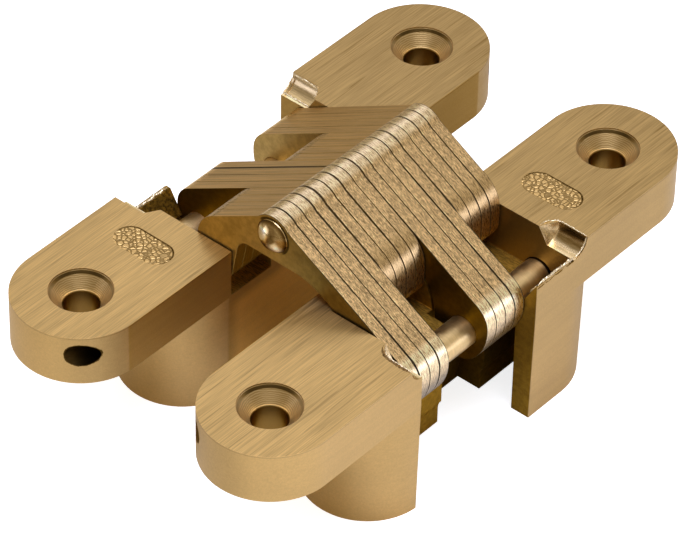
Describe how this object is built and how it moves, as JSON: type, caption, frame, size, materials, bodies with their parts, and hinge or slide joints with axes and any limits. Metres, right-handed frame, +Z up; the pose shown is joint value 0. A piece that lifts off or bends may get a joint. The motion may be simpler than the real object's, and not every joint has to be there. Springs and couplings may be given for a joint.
{
  "type": "concealed door hinge",
  "caption": "Concealed mortise door hinge, lying open: slim rounded cast leaves with countersunk screw holes, joined by crossed stacks of stamped link plates on pins.",
  "frame": {"origin": "middle of the underside of the open hinge, midway between the two leaves", "axes": "+X from leaf A to leaf B, +Y along the pins and the length of the leaves, +Z up out of the visible faces"},
  "size_m": [0.0696, 0.1174, 0.0476],
  "materials": {
    "cast_leaf": "satin, brushed lengthways",
    "link_plate": "satin, edges polished",
    "pin_steel": "satin"
  },
  "bodies": {
    "leaf_a": {"leaf_a": "cast_leaf", "pivot_pin_a": "pin_steel"},
    "links_one": {"link_plate_01": "link_plate", "link_plate_02": "link_plate", "link_plate_03": "link_plate", "link_plate_04": "link_plate", "link_plate_09": "link_plate", "link_plate_10": "link_plate", "link_plate_11": "link_plate", "link_plate_12": "link_plate", "centre_pin": "pin_steel", "slide_pin_b": "pin_steel"},
    "links_two": {"link_plate_05": "link_plate", "link_plate_06": "link_plate", "link_plate_07": "link_plate", "link_plate_08": "link_plate", "link_plate_13": "link_plate", "link_plate_14": "link_plate", "link_plate_15": "link_plate", "link_plate_16": "link_plate", "slide_pin_a": "pin_steel"},
    "leaf_b": {"leaf_b": "cast_leaf", "pivot_pin_b": "pin_steel"}
  },
  "joints": [
    {"name": "arm_fold", "type": "hinge", "parent": "leaf_a", "child": "links_one", "pos_m": [-0.0135, 0, 0.0304], "axis": [0, -1, 0], "range_deg": [0, 117.6]},
    {"name": "links_cross", "type": "hinge", "parent": "links_one", "child": "links_two", "pos_m": [0, 0, 0.04335], "axis": [0, -1, 0], "range_deg": [-55.25, 0]},
    {"name": "leaf_fold", "type": "hinge", "parent": "links_two", "child": "leaf_b", "pos_m": [0.0135, 0, 0.0304], "axis": [0, -1, 0], "range_deg": [0, 117.6]}
  ],
  "couplings": [
    {"joint": "links_cross", "follows": "arm_fold", "ratio": -0.46939},
    {"joint": "leaf_fold", "follows": "arm_fold", "ratio": 1}
  ]
}
